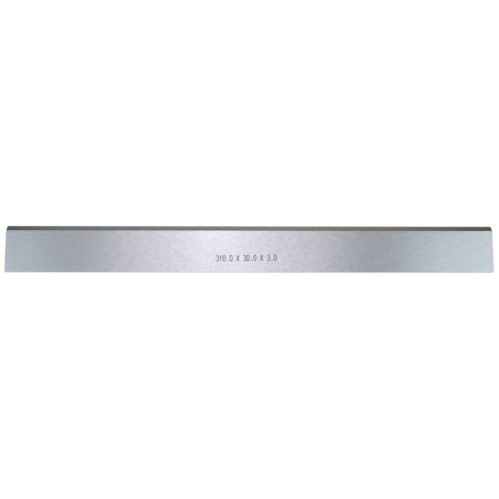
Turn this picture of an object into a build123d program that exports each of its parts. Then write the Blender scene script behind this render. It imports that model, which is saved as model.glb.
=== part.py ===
"""A planer knife, the long flat blade that is clamped in the cutter block of a thickness planer.

It is one bar of high-speed steel, ground flat on its back and its front face. The far long edge
is ground to a wedge by a single flat bevel, so the cutting edge lies in the plane of the back.
The near long edge is the heel, which the setting screws push against. The knife lies on its back,
as on a bench.

X runs along the cutting edge, Y from the heel to the cutting edge, Z from the back to the front
face. The origin is the middle of the back. Lengths are in millimetres and angles in degrees.
"""

import os
from math import radians, tan

from build123d import *

# Driving dimensions
knife_length = 310.0  # along the cutting edge
knife_width = 30.0  # from the heel to the cutting edge
knife_thickness = 3.0  # from the back to the front face
wedge_angle = 42.0  # between the bevel and the back
corner_break = 0.5  # chamfer on the upright corners at the two ends of the heel
edge_break = 0.2  # chamfer round the rest of the outline, which is stoned lightly

# Where the lines of the section lie, measured from the middle of the width
heel_y = -knife_width / 2
cutting_edge_y = knife_width / 2
bevel_run = knife_thickness / tan(radians(wedge_angle))  # how far the bevel reaches back
knee_y = cutting_edge_y - bevel_run  # where the front face turns into the bevel

with BuildPart() as planer_knife:
    # The bar with its ground section: flat back, square heel, and a bevel down to the back
    with BuildSketch(Plane.YZ):
        with BuildLine():
            Polyline(
                (heel_y, 0),
                (cutting_edge_y, 0),
                (knee_y, knife_thickness),
                (heel_y, knife_thickness),
                close=True,
            )
        make_face()
    extrude(amount=knife_length / 2, both=True)

    # The heel's upright corners, which lead the knife into its slot
    heel = planer_knife.faces().sort_by(Axis.Y)[0]
    chamfer(heel.edges().filter_by(Axis.Z), length=corner_break)

    # The outlines of the back, the front face and the bevel, apart from the bevel's two long
    # edges: its knee is left crisp by the grinding wheel, and the other is the cutting edge
    bevel = planer_knife.faces().sort_by(Axis.Y)[-1]
    left_crisp = bevel.edges().filter_by(Axis.X)
    flats = planer_knife.faces().filter_by(Axis.Z)
    stoned = [edge for edge in flats.edges() + bevel.edges() if edge not in left_crisp]
    chamfer(stoned, length=edge_break)

planer_knife.part.label = "planer_knife"

os.makedirs("parts", exist_ok=True)
export_step(planer_knife.part, "parts/planer_knife.step")
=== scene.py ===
"""Looks for a planer knife of ground high-speed steel, lying on its back on a white floor.

The knife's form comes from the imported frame. This script engraves the size marking in it, gives
each ground face its finish, and sets up the studio and the camera. Lengths are in metres.
"""

from math import cos, pi, radians, sin

import bmesh
import bpy
from mathutils import Matrix, Vector


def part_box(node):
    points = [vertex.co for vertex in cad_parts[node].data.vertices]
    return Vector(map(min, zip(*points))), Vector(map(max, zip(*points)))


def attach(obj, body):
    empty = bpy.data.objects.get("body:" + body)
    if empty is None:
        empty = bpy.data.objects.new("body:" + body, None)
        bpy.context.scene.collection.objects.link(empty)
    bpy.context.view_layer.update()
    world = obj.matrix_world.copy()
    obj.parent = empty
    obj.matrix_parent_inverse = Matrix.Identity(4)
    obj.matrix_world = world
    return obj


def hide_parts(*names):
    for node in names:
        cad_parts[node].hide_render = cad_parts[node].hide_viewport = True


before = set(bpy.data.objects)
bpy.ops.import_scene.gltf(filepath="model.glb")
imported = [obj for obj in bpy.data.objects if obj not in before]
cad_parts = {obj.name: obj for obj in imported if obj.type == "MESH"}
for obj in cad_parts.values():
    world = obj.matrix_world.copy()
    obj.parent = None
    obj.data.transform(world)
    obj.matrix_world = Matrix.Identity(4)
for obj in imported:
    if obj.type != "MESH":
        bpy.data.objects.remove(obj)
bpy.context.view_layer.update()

mm = 0.001

# Places on the knife, from the frame
low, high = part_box("planer_knife")
face_height = high.z
wedge_angle = radians(42)  # between the bevel and the back

# The marking: plain numbers, engraved in single strokes by a round-nosed tool
marking_text = "310.0 X 30.0 X 3.0"
character_height = 3.6 * mm
character_width = 1.55 * mm
character_pitch = 2.16 * mm
marking_centre = Vector((-2.4 * mm, -5.8 * mm))
marking_tilt = radians(0.8)  # it was set a little askew
groove_width = 0.48 * mm
groove_depth = 0.12 * mm
tool_steps = 6  # how finely the tool's round is divided
closing_gap = 0.001  # of a character: a stroke whose ends are nearer than this is closed

# The knife's mesh
joined_within = 0.001 * mm  # corners nearer than this are one
flat_within = radians(0.1)  # faces that differ by less than this are one
sliver_edge = 0.003 * mm  # edges and faces of this size, which the engraving leaves, are taken out
sliver_face = 0.001 * mm
facing = 0.99  # least cosine between a face's normal and the direction that it faces

# The steel. Each noise is measured from its middle, and its share says how much it counts
mottle_stretch = (3.8, 1.15)  # of the grinding lines' scale, along the lines and across them
mottle_share = (1.45, 0.8)  # in the tone, in the middle of the knife's length and at its ends
ends_fade = (70 * mm, 105 * mm)  # from the middle: where mottle and relief start and stop to fade
ends_relief = 0.4  # at the ends, as a share of the relief in the middle
hair_stretch = (0.3, 7.0)
hair_share = 0.4
hair_relief = 0.15  # beside the grinding lines' relief
cloud_grain = (35.0, 35.0, 35.0)  # cells per metre
cloud_share = 0.3
cloud_reach = (0.3, 0.7)  # the noise where the steel is roughest and where it is smoothest
tone_reach = 0.25  # the sum for the lightest tone, and below zero for the darkest
roughness_reach = 0.01  # to either side of a finish's own roughness

# The bottom of the engraving
speckle_grain = (4000.0, 4000.0, 4000.0)  # cells per metre
speckle_reach = (0.3, 0.7)
speckle_dark = (0.07, 0.07, 0.075)
speckle_light = (0.22, 0.22, 0.23)
speckle_roughness = (0.4, 0.7)

# The camera, solved from the corners of the knife in the photograph
image_width = 499  # pixels
focal_length = 709.5  # pixels
sensor_width = 36  # millimetres, as Blender counts lenses
camera_place = Vector((-5.54, -51.25, 450.6)) * mm
camera_turn = (radians(6.485), radians(-0.655), radians(0.079))

# The softboxes. Levels are radiances: at a total of 1 a colour renders as it is written
overhead_place = (-0.045, 0.147)
overhead_height = 1.0
overhead_size = (0.50, 0.64)
overhead_level = 0.85
overhead_tint = (1.04, 1.0, 1.0)
core_place = (-0.053, 0.173)  # the softbox overhead is brighter in its middle
core_height = 0.98
core_size = (0.125, 0.42)
core_level = 0.94
core_tint = (1.01, 1.0, 1.01)
side_distance = 1.5
left_y = -0.51
left_angle = radians(37.3)  # from overhead
left_size = (1.60, 0.96)
left_level = 0.88
left_tint = (0.90, 1.0, 1.0)
right_y = -0.46
right_angle = radians(34.4)
right_size = (1.60, 0.95)
right_level = 1.05
right_tint = (0.925, 1.0, 1.0)

# The room and the floor
wall_light = (1.0, 1.0, 1.0)
ceiling_light = (0.23, 0.245, 0.245)  # between the softboxes
wall_top = (0.64, 0.77)  # upward part of the direction, where the walls turn into the ceiling
floor_size = 12.0
floor_drop = 0.02 * mm  # keeps the floor clear of the knife's back
floor_colour = 0.82
floor_glow = 1.21
floor_glow_share = (0.6, 0.74)  # near the knife, and far from it
floor_fade = (0.35, 1.6)  # distances between which the share changes

# The sheet that the bevel mirrors, which glows: its colours paint the bevel's reflection
card_gap = 1.0 * mm
card_height = 4.0 * mm
card_length = 420 * mm
painted_reflection_fall = (1.12, 0.86)  # glow strength at the foot of the sheet, and at the height of the front face
painted_reflection_shades = (  # painted reflection colours of the glowing sheet, from the knife's left end to its right end
    (0.0, (0.13, 0.13, 0.12)),
    (0.12, (0.26, 0.26, 0.25)),
    (0.3, (0.31, 0.30, 0.30)),
    (0.55, (0.36, 0.35, 0.29)),
    (0.85, (0.25, 0.22, 0.17)),
    (1.0, (0.15, 0.12, 0.08)),
)


# Building blocks


class Nodes:
    """Builds one node tree, a node at a time, with its inputs given as values or as sockets."""

    def __init__(self, tree):
        self.tree = tree
        tree.nodes.clear()

    def add(self, kind, inputs=None, **settings):
        node = self.tree.nodes.new(kind)
        for name, value in settings.items():
            setattr(node, name, value)
        for key, value in (inputs or {}).items():
            if isinstance(value, bpy.types.NodeSocket):
                self.tree.links.new(value, node.inputs[key])
            else:
                node.inputs[key].default_value = value
        return node

    def math(self, operation, *values):
        node = self.add("ShaderNodeMath", dict(enumerate(values)), operation=operation)
        return node.outputs[0]

    def spread(self, value, from_low, from_high, to_low, to_high):
        """The value mapped in a straight line from one range to another, and held at its ends."""
        inputs = {
            "Value": value,
            "From Min": from_low,
            "From Max": from_high,
            "To Min": to_low,
            "To Max": to_high,
        }
        return self.add("ShaderNodeMapRange", inputs).outputs[0]

    def place(self):
        """Object coordinates, in metres."""
        return self.add("ShaderNodeTexCoord").outputs["Object"]

    def noise(self, grain, detail=2.0):
        """Noise with its cells per metre given for each axis."""
        place = self.add("ShaderNodeMapping", {"Vector": self.place(), "Scale": grain})
        inputs = {"Vector": place.outputs[0], "Scale": 1.0, "Detail": detail}
        return self.add("ShaderNodeTexNoise", inputs).outputs["Fac"]

    def weigh(self, *parts):
        """The sum of noises, each measured from its middle and times its share."""
        total = 0.0
        for value, share in parts:
            total = self.math("MULTIPLY_ADD", self.math("SUBTRACT", value, 0.5), share, total)
        return total

    def tint(self, factor, first, second):
        """The first colour where the factor is 0, and the second where it is 1."""
        inputs = {0: factor, 6: (*first, 1), 7: (*second, 1)}
        return self.add("ShaderNodeMix", inputs, data_type="RGBA").outputs[2]


def new_material(name):
    """A material, and the nodes to build it with."""
    material = bpy.data.materials.new(name)
    material.use_nodes = True
    return material, Nodes(material.node_tree)


def new_object(name, data):
    thing = bpy.data.objects.new(name, data)
    bpy.context.scene.collection.objects.link(thing)
    return thing


def final_mesh(thing):
    """A new mesh of an object with its modifiers applied, or of a curve with its thickness."""
    depsgraph = bpy.context.evaluated_depsgraph_get()
    return bpy.data.meshes.new_from_object(thing.evaluated_get(depsgraph))


# The finishes


def rescaled(grain, stretch):
    """The grinding lines' scale, times one factor along the lines and another across them."""
    along = min(grain)
    return [scale * stretch[0] if scale == along else scale * stretch[1] for scale in grain]


def steel(name, dark, light, grain, roughness, anisotropy, across_lines, relief):
    """Ground steel: grinding lines in its relief, and a fine mottle of tone.

    The grain is the lines' scale in cells per metre on each axis, which is least along them.
    """
    material, nodes = new_material(name)
    lines = nodes.noise(grain, detail=1.0)
    hairs = nodes.noise(rescaled(grain, hair_stretch))
    mottle = nodes.noise(rescaled(grain, mottle_stretch), detail=1.0)
    cloud = nodes.noise(cloud_grain, detail=3.0)
    x = nodes.add("ShaderNodeSeparateXYZ", {0: nodes.place()}).outputs["X"]
    away = nodes.math("ABSOLUTE", x)
    mottling = nodes.spread(away, *ends_fade, *mottle_share)
    tone = nodes.weigh((mottle, mottling), (hairs, hair_share), (cloud, cloud_share))
    tone = nodes.spread(tone, -tone_reach, tone_reach, 0.0, 1.0)
    smoother = (roughness + roughness_reach, roughness - roughness_reach)
    height = nodes.math("MULTIPLY_ADD", hairs, hair_relief, lines)
    depth = nodes.spread(away, *ends_fade, relief, relief * ends_relief)
    bump = nodes.add("ShaderNodeBump", {"Distance": depth, "Height": height})
    across = nodes.add("ShaderNodeCombineXYZ", dict(enumerate(across_lines)))
    shader = nodes.add(
        "ShaderNodeBsdfPrincipled",
        {
            "Base Color": nodes.tint(tone, dark, light),
            "Metallic": 1.0,
            "Roughness": nodes.spread(cloud, *cloud_reach, *smoother),
            "Anisotropic": anisotropy,
            "Normal": bump.outputs[0],
            "Tangent": across.outputs[0],
        },
    )
    nodes.add("ShaderNodeOutputMaterial", {"Surface": shader.outputs[0]})
    return material


def engraving():
    """The bottom of the engraved strokes, left dark and rough by the tool."""
    material, nodes = new_material("engraved")
    speckle = nodes.noise(speckle_grain)
    shader = nodes.add(
        "ShaderNodeBsdfPrincipled",
        {
            "Base Color": nodes.tint(speckle, speckle_dark, speckle_light),
            "Metallic": 0.8,
            "Roughness": nodes.spread(speckle, *speckle_reach, *speckle_roughness),
        },
    )
    nodes.add("ShaderNodeOutputMaterial", {"Surface": shader.outputs[0]})
    return material


face_finish = steel(
    "ground_face",
    dark=(0.54, 0.55, 0.60),
    light=(0.59, 0.60, 0.655),
    grain=(110, 650, 650),  # lines along the knife
    roughness=0.262,
    anisotropy=0.5,
    across_lines=(0, 1, 0),
    relief=0.07 * mm,
)
bevel_finish = steel(
    "ground_bevel",
    dark=(0.54, 0.55, 0.59),
    light=(0.60, 0.61, 0.65),
    grain=(900, 120, 120),  # lines down to the cutting edge
    roughness=0.28,
    anisotropy=0.7,
    across_lines=(1, 0, 0),
    relief=0.04 * mm,
)
outline_finish = steel(
    "stoned_edge",
    dark=(0.60, 0.61, 0.64),
    light=(0.68, 0.69, 0.73),
    grain=(110, 110, 650),  # lines along every side of the outline
    roughness=0.36,
    anisotropy=0.4,
    across_lines=(0, 0, 1),
    relief=0.04 * mm,
)
engraved_finish = engraving()
finishes = (face_finish, bevel_finish, outline_finish, engraved_finish)


# The marking


def arc(x, y, wide, high, start, end, steps=12):
    """Points on an ellipse's arc, from one angle to another in degrees."""
    angles = [radians(start + (end - start) * i / steps) for i in range(steps + 1)]
    return [(x + wide * cos(a), y + high * sin(a)) for a in angles]


character_strokes = {  # in a cell one wide and one high
    "0": [arc(0.5, 0.5, 0.5, 0.5, 90, 450, 20)],
    "1": [[(0.15, 0.76), (0.55, 1)], [(0.55, 1), (0.55, 0)]],
    "3": [arc(0.45, 0.76, 0.45, 0.24, 150, -90), arc(0.45, 0.26, 0.52, 0.26, 90, -150)],
    "X": [[(0, 0), (1, 1)], [(0, 1), (1, 0)]],
    ".": [[(0.35, 0.0), (0.7, 0.0)], [(0.35, 0.08), (0.7, 0.08)]],
    " ": [],
}


def marking_place(index, x, y):
    """Where a point of a character's cell lies on the front face."""
    length = character_pitch * (len(marking_text) - 1) + character_width
    along = index * character_pitch + x * character_width - length / 2
    up = (y - 0.5) * character_height
    return marking_centre + Matrix.Rotation(marking_tilt, 2) @ Vector((along, up))


def marking_cutter():
    """The tool's path along every stroke, as one mesh that stands in the front face."""
    tool_radius = (groove_width**2 / 4 + groove_depth**2) / (2 * groove_depth)
    tool_height = face_height + tool_radius - groove_depth
    curve = bpy.data.curves.new("marking_path", "CURVE")
    curve.dimensions = "3D"
    curve.bevel_depth = tool_radius
    curve.bevel_resolution = tool_steps
    curve.use_fill_caps = True
    for index, character in enumerate(marking_text):
        for stroke in character_strokes[character]:
            spline = curve.splines.new("POLY")
            if (Vector(stroke[0]) - Vector(stroke[-1])).length < closing_gap:
                spline.use_cyclic_u = True
                stroke = stroke[:-1]
            spline.points.add(len(stroke) - 1)
            for point, (x, y) in zip(spline.points, stroke):
                point.co = (*marking_place(index, x, y), tool_height, 1)
    path = new_object("marking_path", curve)
    mesh = final_mesh(path)
    bpy.data.objects.remove(path)
    return mesh


# The knife


def own_mesh(node_name):
    """A copy of a CAD node's mesh with its corners joined, flat shading and whole flat faces."""
    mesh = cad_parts[node_name].data.copy()
    shape = bmesh.new()
    shape.from_mesh(mesh)
    bmesh.ops.remove_doubles(shape, verts=shape.verts, dist=joined_within)
    bmesh.ops.dissolve_limit(shape, angle_limit=flat_within, verts=shape.verts, edges=shape.edges)
    for face in shape.faces:
        face.smooth = False
    shape.to_mesh(mesh)
    shape.free()
    return mesh


def join_slivers(mesh):
    """Takes out the shortest edges and thinnest faces that the engraving leaves."""
    shape = bmesh.new()
    shape.from_mesh(mesh)
    bmesh.ops.remove_doubles(shape, verts=shape.verts, dist=sliver_edge)
    bmesh.ops.dissolve_degenerate(shape, edges=shape.edges, dist=sliver_face)
    shape.to_mesh(mesh)
    shape.free()


def engrave(knife):
    """Cuts the marking out of the knife's mesh. The cut faces have the engraved finish."""
    cutter = new_object("cutter", marking_cutter())
    cutter.data.materials.append(engraved_finish)
    cut = knife.modifiers.new("marking", "BOOLEAN")
    cut.operation = "DIFFERENCE"
    cut.solver = "EXACT"
    cut.use_self = True
    cut.material_mode = "TRANSFER"
    cut.object = cutter
    engraved = final_mesh(knife)
    join_slivers(engraved)
    knife.modifiers.clear()
    knife.data = engraved
    bpy.data.objects.remove(cutter)


def finish_faces(knife):
    """Gives every face outside the engraving the finish of the way it faces."""
    bevel_normal = Vector((0, sin(wedge_angle), cos(wedge_angle)))
    for face in knife.data.polygons:
        if finishes[face.material_index] == engraved_finish:
            continue
        if abs(face.normal.z) > facing:
            finish = face_finish
        elif face.normal.dot(bevel_normal) > facing:
            finish = bevel_finish
        else:
            finish = outline_finish
        face.material_index = finishes.index(finish)


knife = new_object("knife", own_mesh("planer_knife"))
knife.data.materials.clear()
for finish in finishes:
    knife.data.materials.append(finish)
engrave(knife)
finish_faces(knife)
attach(knife, "root")
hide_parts("planer_knife")


# The stage


def plane(name, width, depth, place):
    mesh = bpy.data.meshes.new(name)
    x, y = width / 2, depth / 2
    mesh.from_pydata([(-x, -y, 0), (x, -y, 0), (x, y, 0), (-x, y, 0)], [], [(0, 1, 2, 3)])
    sheet = new_object(name, mesh)
    sheet.location = place
    return sheet


def floor_material():
    """White paint that takes shadows, with a share of plain white where it is seen."""
    material, nodes = new_material("white_floor")
    paint = nodes.add("ShaderNodeBsdfDiffuse", {"Color": (floor_colour,) * 3 + (1,)})
    glow = nodes.add("ShaderNodeEmission", {"Color": (1, 1, 1, 1), "Strength": floor_glow})
    path = nodes.add("ShaderNodeLightPath").outputs
    seen = nodes.math("ADD", path["Is Camera Ray"], path["Is Glossy Ray"])
    seen = nodes.math("MINIMUM", nodes.math("ADD", seen, path["Is Transmission Ray"]), 1.0)
    away = nodes.add("ShaderNodeVectorMath", {0: nodes.place()}, operation="LENGTH")
    share = nodes.spread(away.outputs["Value"], *floor_fade, *floor_glow_share)
    share = nodes.math("MULTIPLY", seen, share)
    mixed = nodes.add("ShaderNodeMixShader", {0: share, 1: paint.outputs[0], 2: glow.outputs[0]})
    nodes.add("ShaderNodeOutputMaterial", {"Surface": mixed.outputs[0]})
    material.cycles.emission_sampling = "NONE"
    return material


def painted_reflection_material():
    """Glowing colours that paint the bevel's reflection: grey at the left, lighter in the middle,
    dark and warm at the right.

    It gets darker from its foot to the height of the front face.
    """
    material, nodes = new_material("painted_reflection_card")
    place = nodes.add("ShaderNodeSeparateXYZ", {0: nodes.place()}).outputs
    ramp = nodes.add("ShaderNodeValToRGB", {"Fac": nodes.spread(place["X"], low.x, high.x, 0, 1)})
    stops = ramp.color_ramp.elements
    stops[0].color = (*painted_reflection_shades[0][1], 1)
    stops[1].color = (*painted_reflection_shades[-1][1], 1)
    for at, shade in painted_reflection_shades[1:-1]:
        stops.new(at).color = (*shade, 1)
    foot = -card_height / 2
    strength = nodes.spread(place["Y"], foot, foot + face_height, *painted_reflection_fall)
    glow = nodes.add("ShaderNodeEmission", {"Color": ramp.outputs[0], "Strength": strength})
    nodes.add("ShaderNodeOutputMaterial", {"Surface": glow.outputs[0]})
    material.cycles.emission_sampling = "NONE"
    return material


floor = plane("floor", floor_size, floor_size, (0, 0, -floor_drop))
floor.data.materials.append(floor_material())

# The sheet stands upright behind the cutting edge, and is seen only by reflections. It glows, and
# its colours paint the bevel's reflection
painted_reflection_card = plane("painted_reflection_card", card_length, card_height, (0, high.y + card_gap, card_height / 2))
painted_reflection_card.rotation_euler.x = radians(90)
painted_reflection_card.data.materials.append(painted_reflection_material())
for ray in ("camera", "diffuse", "transmission", "volume_scatter", "shadow"):
    setattr(painted_reflection_card, "visible_" + ray, False)


# The light


def softbox(name, size, place, target, level, tint):
    """A rectangular lamp of a given radiance, which faces the target."""
    light = bpy.data.lights.new(name, "AREA")
    light.shape = "RECTANGLE"
    light.size, light.size_y = size
    light.energy = level * size[0] * size[1] * pi
    light.color = tint
    lamp = new_object(name, light)
    lamp.location = place
    lamp.rotation_euler = (place - target).to_track_quat("Z", "Y").to_euler()


def softbox_overhead(name, size, place, height, level, tint):
    """A softbox that faces straight down."""
    softbox(name, size, Vector((*place, height)), Vector((*place, 0)), level, tint)


def softbox_aside(name, size, y, angle, level, tint):
    """A softbox at an angle from overhead, to the right, or to the left if it is negative."""
    target = Vector((0, y, 0))
    place = target + side_distance * Vector((sin(angle), 0, cos(angle)))
    softbox(name, size, place, target, level, tint)


def room():
    """White walls, and a darker ceiling between the softboxes."""
    world = bpy.data.worlds.new("room")
    world.use_nodes = True
    nodes = Nodes(world.node_tree)
    direction = nodes.add("ShaderNodeTexCoord").outputs["Generated"]
    upward = nodes.add("ShaderNodeSeparateXYZ", {0: direction}).outputs["Z"]
    light = nodes.tint(nodes.spread(upward, *wall_top, 0, 1), wall_light, ceiling_light)
    background = nodes.add("ShaderNodeBackground", {"Color": light, "Strength": 1.0})
    nodes.add("ShaderNodeOutputWorld", {"Surface": background.outputs[0]})
    return world


softbox_overhead(
    "overhead", overhead_size, overhead_place, overhead_height, overhead_level, overhead_tint
)
softbox_overhead("overhead_core", core_size, core_place, core_height, core_level, core_tint)
softbox_aside("left", left_size, left_y, -left_angle, left_level, left_tint)
softbox_aside("right", right_size, right_y, right_angle, right_level, right_tint)
bpy.context.scene.world = room()


# The camera
lens = bpy.data.cameras.new("camera")
lens.sensor_width = sensor_width
lens.lens = focal_length / image_width * sensor_width
lens.clip_start = 0.01
lens.clip_end = 50
camera = new_object("camera", lens)
camera.rotation_mode = "ZYX"
camera.rotation_euler = camera_turn
camera.location = camera_place
bpy.context.scene.camera = camera

bpy.context.scene.view_settings.view_transform = "Standard"
